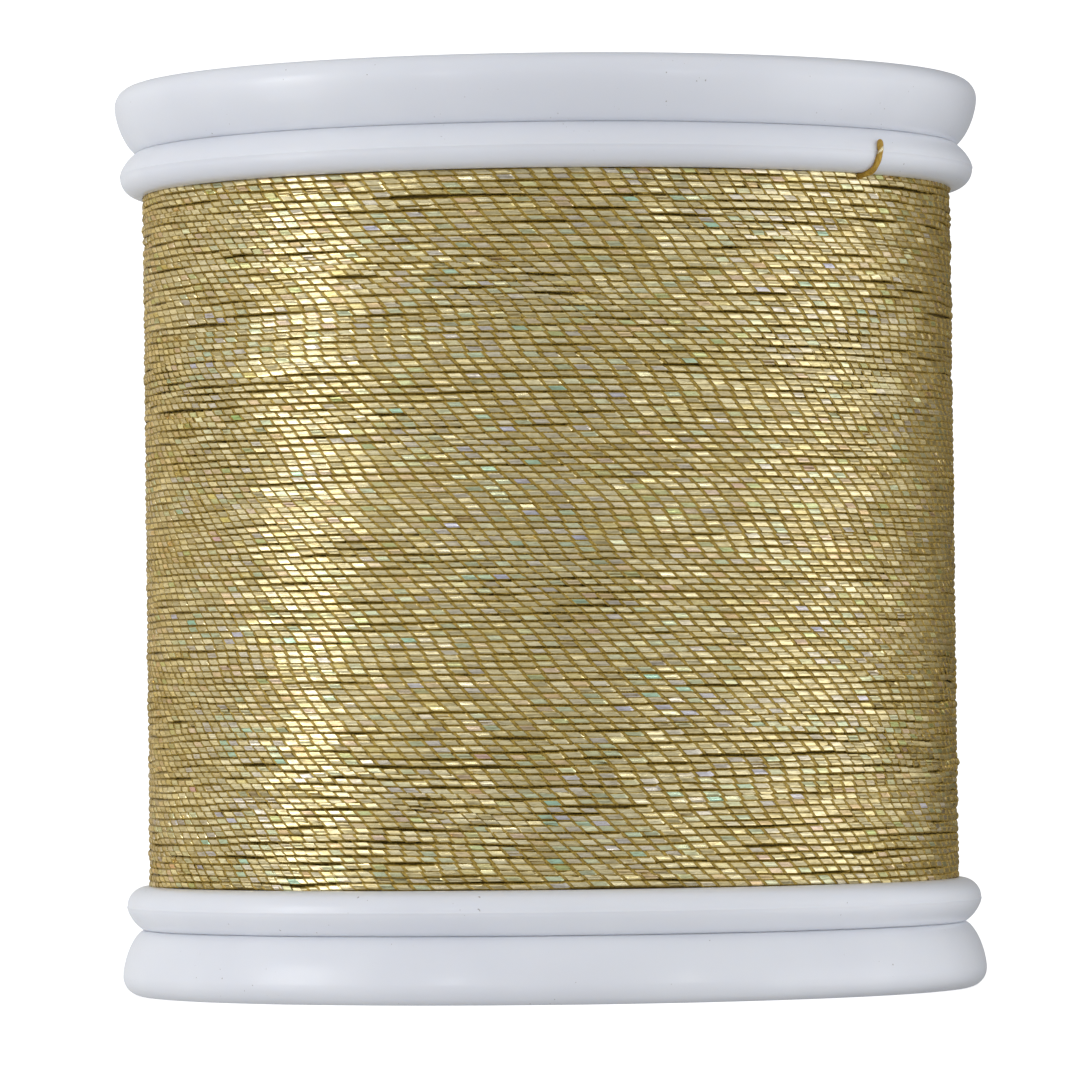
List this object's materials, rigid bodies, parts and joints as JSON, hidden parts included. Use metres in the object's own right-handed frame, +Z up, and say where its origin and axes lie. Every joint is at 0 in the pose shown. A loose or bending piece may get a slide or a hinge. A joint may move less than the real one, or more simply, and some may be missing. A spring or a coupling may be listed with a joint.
{
  "type": "spool of thread",
  "caption": "Snap-end spool of pale gold metallic sewing thread: white moulded core, a sliding cap on each end and a loose thread tail.",
  "frame": {"origin": "centre of the lower cap's end face, on the surface the spool stands on", "axes": "+Z up the spool's axis from the lower cap to the upper; -Y towards the front"},
  "size_m": [0.0362, 0.0362, 0.038],
  "materials": {
    "spool_plastic": "semi-gloss moulded white plastic with a faint grain",
    "metallic_thread": "flat metallised film wrapped round a golden core thread",
    "label_paper": "matt uncoated paper, unprinted"
  },
  "bodies": {
    "core": {"spool_core": "spool_plastic", "thread_winding": "metallic_thread", "thread_tail": "metallic_thread"},
    "upper_cap": {"upper_snap_cap": "spool_plastic", "upper_label": "label_paper"},
    "lower_cap": {"lower_snap_cap": "spool_plastic", "lower_label": "label_paper"}
  },
  "joints": [
    {"name": "upper_cap_slide", "type": "slide", "parent": "core", "child": "upper_cap", "axis": [0, 0, 1], "range_m": [0, 0.002]},
    {"name": "lower_cap_slide", "type": "slide", "parent": "core", "child": "lower_cap", "axis": [0, 0, -1], "range_m": [0, 0.002]}
  ]
}
